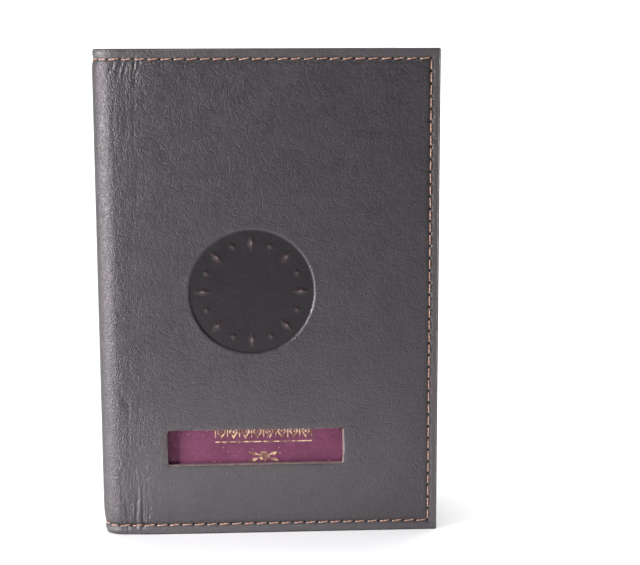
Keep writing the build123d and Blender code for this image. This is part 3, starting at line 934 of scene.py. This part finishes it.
def build_pocket(half, back):
    """The flap that the booklet's cover slides behind, sewn along three sides."""
    inset, rim = 0.15, 0.25
    s_stops = (inset, (6.0, 0.26), (FLAP_EDGE - 3, 1.0), (FLAP_EDGE, 0.4))
    z_stops = (inset, (6.5, 0.26), (HEIGHT - 6.5, 1.0), (HEIGHT - inset, 0.26))
    far_s = (inset, (6.0, 0.5), (FLAP_EDGE, 2.5))
    far_z = (inset, (6.5, 0.5), (HEIGHT - 6.5, 3.0), (HEIGHT - inset, 0.5))
    s_lines, z_lines = half_lines(s_stops, back), lines(*z_stops)
    far_lines = half_lines(far_s, back), lines(*far_z)
    sheet = slab(s_lines, z_lines, *far_lines, flap_inside, flap_outside, FLAP, rim, closed_end=True)
    rounded(sheet, s_lines[0], (inset, HEIGHT - inset), CUT_CORNER, CORNER_REACH)
    materials = [POCKET_FACE, LEATHER_EDGE, LEATHER_BACK, LEATHER_EDGE]
    pocket = sheet_object("pocket_flap_" + half, sheet, materials)
    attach(pocket, half)
    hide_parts(half + "_pocket")


# ---- stitching
def outer_seat(s, z):
    """Depth of the surface that the outer stitches lie on."""
    return seam_press(s, z, False) - hole_pits(s, z, False) - sag(s, z)


def inner_seat(s, z):
    """Depth of the surface that the inner stitches lie on: the flap, and past its edge the lining."""
    on_flap = smooth(from_fore_edge(s), FLAP_EDGE + 0.5, FLAP_EDGE - 0.3)
    return lining_inside(s, z) * (1 - on_flap) + flap_inside(s, z) * on_flap


def build_stitches(half, back, outer):
    """Two-ply stitches. Each rises out of a needle hole, lies along the leather and dives into the next."""
    rng = np.random.default_rng(70 + 2 * back + outer)
    seat, side = (outer_seat, -1.0) if outer else (inner_seat, 1.0)
    samples, around = 11, 7
    lean, lie, dive, dive_length = 0.16, 0.12, 0.50, 0.10
    twist_across, twist_depth, twists = 0.085, 0.07, 1.35
    t = np.linspace(0, 1, samples)
    theta = np.linspace(0, 2 * math.pi, around, endpoint=False)
    reach = 0.06 + 0.88 * t
    points, maps, faces = [], [], []
    base = 0
    for run in seam_holes(back):
        for start, end in zip(run[:-1], run[1:]):
            heading = (end - start) / np.linalg.norm(end - start)
            across = np.array([-heading[1], heading[0]])
            slant = math.copysign(lean, heading[0]) * abs(heading[0]) + rng.uniform(-0.05, 0.05)
            sideways = across * (slant * np.sin((t - 0.5) * math.pi))[:, None]
            centre = start + (end - start) * reach[:, None] + sideways
            lift = lie - dive * (bell(t, dive_length) + bell(1 - t, dive_length))
            depth = seat(centre[:, 0], centre[:, 1]) + side * lift
            phase = rng.uniform(0, 2 * math.pi)
            for ply in (0.0, math.pi):
                swing = phase + ply + t * 2 * math.pi * twists
                ring_across = twist_across * np.cos(swing)[:, None] + PLY_RADIUS * np.cos(theta)
                ring_depth = twist_depth * np.sin(swing)[:, None] + PLY_RADIUS * np.sin(theta)
                s = centre[:, None, 0] + across[0] * ring_across
                z = centre[:, None, 1] + across[1] * ring_across
                points.append(place(s, z, depth[:, None] + ring_depth).reshape(-1, 3))
                along = np.repeat(t * STITCH_PITCH + base % 97, around)
                maps.append(np.stack([along, np.tile(theta * PLY_RADIUS, samples)], axis=1))
                index = np.arange(samples * around).reshape(samples, around) + base
                turned = np.roll(index, -1, axis=1)
                sides = np.stack([index[:-1], index[1:], turned[1:], turned[:-1]], axis=-1)
                faces += sides.reshape(-1, 4).tolist()
                faces += [index[0].tolist(), index[-1, ::-1].tolist()]
                base += samples * around
    name = ("outer" if outer else "inner") + "_stitches_" + half
    stitches = mesh_object(name, np.concatenate(points), faces, [THREAD], None, np.concatenate(maps))
    bend(stitches, back)
    kind = "_outer_thread" if outer else "_inner_thread"
    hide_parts(*(["back" + kind] if back else ["front" + kind, "spine" + kind]))


# ---- booklet
BOOKLET_S = FORE_X - BOARD_HIGH.x
BOOKLET_Z = (BOARD_LOW.z, BOARD_HIGH.z)
LEAVES_S = FORE_X - PAGES_HIGH.x
LEAVES_DEPTH = PAGES_LOW.y - FACE_Y
LEAF_RISE = 1.05  # how far the leaves come towards the cover beside the spine
LEAF_BEND = 11.6  # LEAF_BEND = 11.6 # how far from the middle of the spine the leaves' bend would reach; worked out but not used LEAF_BEND_DEPTHS = (5.15, 4.6) # middle of the leaves, at the spine and at the far end of that bend; not used
LEAF_BEND_DEPTHS = (5.15, 4.6)  # middle of the leaves, at the spine and at the far end of their bend


def build_booklet_cover(half, back):
    """The booklet's cover, with paper on its inside."""
    rim = 0.15
    s_stops = (BOOKLET_S, (BOOKLET_S + 3, 0.5), (88.0, 2.0), (MIDDLE, 0.4))
    z_stops = (BOOKLET_Z[0], (BOOKLET_Z[0] + 3, 0.2), (BOOKLET_Z[1] - 3, 2.5), (BOOKLET_Z[1], 0.2))
    s_lines, z_lines = half_lines(s_stops, back), lines(*z_stops)

    def outside(s, z):
        return np.full_like(s, BOARD_OUT)

    def inside(s, z):
        return np.full_like(s, BOARD_IN)

    sheet = slab(s_lines, z_lines, s_lines, z_lines, outside, inside, BOARD, rim)
    rounded(sheet, s_lines[0], BOOKLET_Z, BOOKLET_CORNER)
    cover = sheet_object("booklet_cover_" + half, sheet, [BOOKLET, BOOKLET, PAPER, BOOKLET])
    bend(cover, back, BOARD_IN)
    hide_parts(*(["booklet_back_cover"] if back else ["booklet_front_cover", "booklet_spine"]))


def build_leaf(back, start, low, high, outer_depth, seed):
    """One leaf, with a slight ripple of its own."""
    s_lines = half_lines((start, (start + 3, 1.0), (88.0, 4.5), (MIDDLE, 0.55)), back)
    z_lines = lines(low, (low + 3, 0.5), (high - 3, 6.0), (high, 0.5))

    def outside(s, z):
        near_spine = smooth(from_spine(s), 14, 6)
        ripple = 0.018 * noise(s, z, 22, 30, seed) * smooth(from_fore_edge(s), 40, 10)
        return outer_depth + ripple - LEAF_RISE * near_spine

    def inside(s, z):
        return outside(s, z) + LEAF

    leaf = slab(s_lines, z_lines, s_lines, z_lines, outside, inside, LEAF, 0.0)
    return rounded(leaf, s_lines[0], (low, high), BOOKLET_CORNER)


def build_pages(half, back):
    """Thin leaves, each a little out of line with the next, folded and sewn at the spine."""
    rng = np.random.default_rng(80 + back)
    creep, map_step = 0.012, 17.0
    block = Sheet()
    for number in range(LEAF_COUNT):
        start = LEAVES_S + rng.uniform(0.0, 0.28) + creep * number
        low, high = PAGES_LOW.z + rng.uniform(0, 0.12), PAGES_HIGH.z - rng.uniform(0, 0.12)
        seed = int(rng.integers(1000))
        leaf = build_leaf(back, start, low, high, LEAVES_DEPTH + number * LEAF_PITCH, seed)
        block.points += leaf.points
        block.map += [part + (0.0, map_step * number) for part in leaf.map]
        block.faces += [[corner + block.count for corner in face] for face in leaf.faces]
        block.kinds += [0] * len(leaf.faces)
        block.count += leaf.count
    pages = sheet_object("pages_" + half, block, [PAPER])
    bend_s = np.array([MIDDLE, MIDDLE + LEAF_BEND if back else MIDDLE - LEAF_BEND])
    spine_side, cover_side = place(bend_s, np.full(2, HEIGHT / 2), np.array(LEAF_BEND_DEPTHS)) * MM
    if back:
        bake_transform(pages)
    else:
        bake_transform(pages)
    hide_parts(*(["back_pages"] if back else ["front_pages", "page_fold"]))


for half, back in HALVES:
    build_cover(half, back)
    build_lining(half, back)
    build_pocket(half, back)
    build_stitches(half, back, outer=True)
    build_stitches(half, back, outer=False)
    build_booklet_cover(half, back)
    build_pages(half, back)

for node, material in (("cover_foil", FOIL), ("page_thread", SEWING)):
    for entry in frame["nodes"][node].material_slots:
        entry.material = material


# ---- floor, light and camera
def build_stage():
    """A pale sweep: floor, a curve, and a wall behind."""
    half_width, front, wall, top, radius = 3.0, -2.5, 2.2, 3.0, 0.9
    turn = np.linspace(0, math.pi / 2, 24)
    profile = [(front, 0.0)]
    profile += [(wall - radius + radius * math.sin(a), radius - radius * math.cos(a)) for a in turn]
    profile += [(wall, top)]
    points = [(x, y, z) for y, z in profile for x in (-half_width, half_width)]
    faces = [[2 * i, 2 * i + 1, 2 * i + 3, 2 * i + 2] for i in range(len(profile) - 1)]
    paint = Paint("pale_sweep", Base_Color=rgb(0.90, 0.90, 0.90), Roughness=0.9, Specular_IOR_Level=0.1)
    floor = mesh_object("studio_sweep", np.array(points) / MM, faces, [paint.material])


def area_light(name, location, target, size, power, color=(1.0, 1.0, 1.0)):
    """A soft light, turned to a target. Places and sizes are in metres, and the power in watts."""
    data = bpy.data.lights.new(name, "AREA")
    data.shape, data.size, data.size_y = "RECTANGLE", size[0], size[1]
    data.energy, data.color = power, color
    lamp = bpy.data.objects.new(name, data)
    lamp.location = location
    lamp.rotation_euler = (Vector(target) - Vector(location)).to_track_quat("-Z", "Y").to_euler()
    bpy.context.scene.collection.objects.link(lamp)


def build_world():
    """A weak even light from all round."""
    world = bpy.data.worlds.new("studio")
    world.use_nodes = True
    background = world.node_tree.nodes["Background"]
    background.inputs["Color"].default_value = rgb(0.97, 0.98, 1.0)
    background.inputs["Strength"].default_value = 0.05
    bpy.context.scene.world = world


def build_camera():
    """The photo's view, fitted to the four corners of the front cover."""
    heading, pitch, roll = math.radians(3.08), math.radians(9.245), math.radians(-0.18)
    data = bpy.data.cameras.new("photo_camera")
    data.lens, data.sensor_width = 81.68, 36.0
    camera = bpy.data.objects.new("photo_camera", data)
    camera.location = (-0.0072, -0.4296, 0.1405)
    level = math.cos(pitch)
    look = Vector((math.sin(heading) * level, math.cos(heading) * level, -math.sin(pitch)))
    camera.rotation_euler = look.to_track_quat("-Z", "Y").to_euler()
    camera.rotation_euler.rotate_axis("Z", roll)
    bpy.context.scene.collection.objects.link(camera)
    bpy.context.scene.camera = camera


build_stage()
# The key light from the left, which shines along the spine; soft light on the floor in front, and a thin
# strip low down, which the foot of the cover reflects; light on the floor to the right; light on the wall
area_light("left_softbox", (-0.63, -0.335, 0.14), (0.0, 0.0, 0.07), (0.12, 0.26), 11.7, (1.0, 0.98, 0.99))
area_light("floor_light", (0.0, -0.16, 0.42), (0.0, -0.16, 0.0), (0.34, 0.12), 0.9, (0.965, 0.965, 1.0))
area_light("front_strip", (-0.025, -0.062, 0.006), (-0.02, -0.02, 0.010), (0.13, 0.008), 0.016,
           (0.98, 0.96, 1.0))
area_light("right_fill", (0.30, 0.12, 0.45), (0.22, 0.06, 0.0), (0.30, 0.20), 0.65, (0.95, 0.985, 1.0))
area_light("sweep_light", (0.0, 1.0, 1.9), (0.0, 1.9, 0.2), (2.4, 1.0), 58.0)
build_world()
build_camera()
bpy.context.scene.view_settings.view_transform = "Standard"
